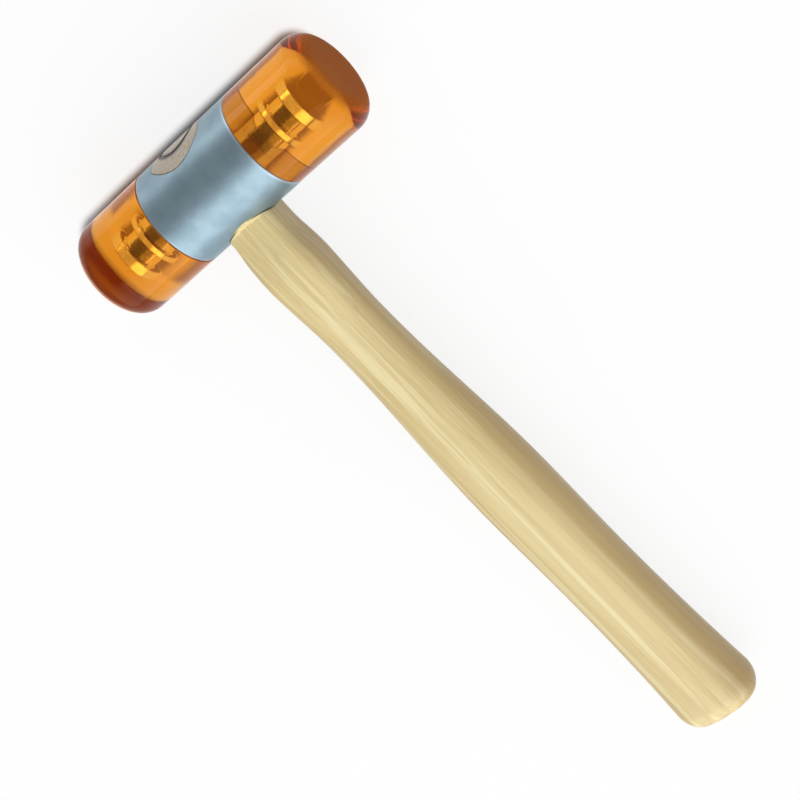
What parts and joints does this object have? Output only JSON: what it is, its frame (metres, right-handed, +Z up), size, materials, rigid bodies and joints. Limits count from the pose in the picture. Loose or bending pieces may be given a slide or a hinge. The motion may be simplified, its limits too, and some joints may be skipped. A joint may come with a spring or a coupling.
{
  "type": "soft face hammer",
  "caption": "Soft-face hammer with a round zinc-plated housing, screw-in transparent amber plastic faces and a shaped ash handle held by a ring wedge.",
  "frame": {"origin": "on the plane the hammer lies on, under the middle of its bounding box", "axes": "+X along the head towards the front face, -Y along the handle towards the butt, +Z up from the plane that the hammer lies on"},
  "size_m": [0.1202, 0.302, 0.04],
  "materials": {
    "zinc_plate": "satin zinc plating on a cast housing",
    "ash_wood": "sanded ash with a thin clear lacquer",
    "wedge_steel": "dull steel",
    "amber_plastic": "polished transparent cellulose acetate",
    "stud_steel": "turned steel",
    "spring_steel": "dark spring steel"
  },
  "bodies": {
    "hammer": {"housing": "zinc_plate", "handle": "ash_wood", "ring_wedge": "wedge_steel"},
    "front_washer": {"front_lock_washer": "spring_steel"},
    "front_head": {"front_face": "amber_plastic", "front_stud": "stud_steel"},
    "rear_washer": {"rear_lock_washer": "spring_steel"},
    "rear_head": {"rear_face": "amber_plastic", "rear_stud": "stud_steel"}
  },
  "joints": [
    {"name": "front_advance", "type": "slide", "parent": "hammer", "child": "front_washer", "axis": [1, 0, 0], "range_m": [0, 0.006]},
    {"name": "front_turn", "type": "hinge", "parent": "front_washer", "child": "front_head", "pos_m": [0.023, 0.13105, 0.02], "axis": [1, 0, 0], "range_deg": [0, 1440]},
    {"name": "rear_advance", "type": "slide", "parent": "hammer", "child": "rear_washer", "axis": [-1, 0, 0], "range_m": [0, 0.006]},
    {"name": "rear_turn", "type": "hinge", "parent": "rear_washer", "child": "rear_head", "pos_m": [-0.023, 0.13105, 0.02], "axis": [-1, 0, 0], "range_deg": [0, 1440]}
  ],
  "couplings": [
    {"joint": "front_advance", "follows": "front_turn", "m_per_rad": 0.00023873},
    {"joint": "rear_advance", "follows": "rear_turn", "m_per_rad": 0.00023873}
  ]
}
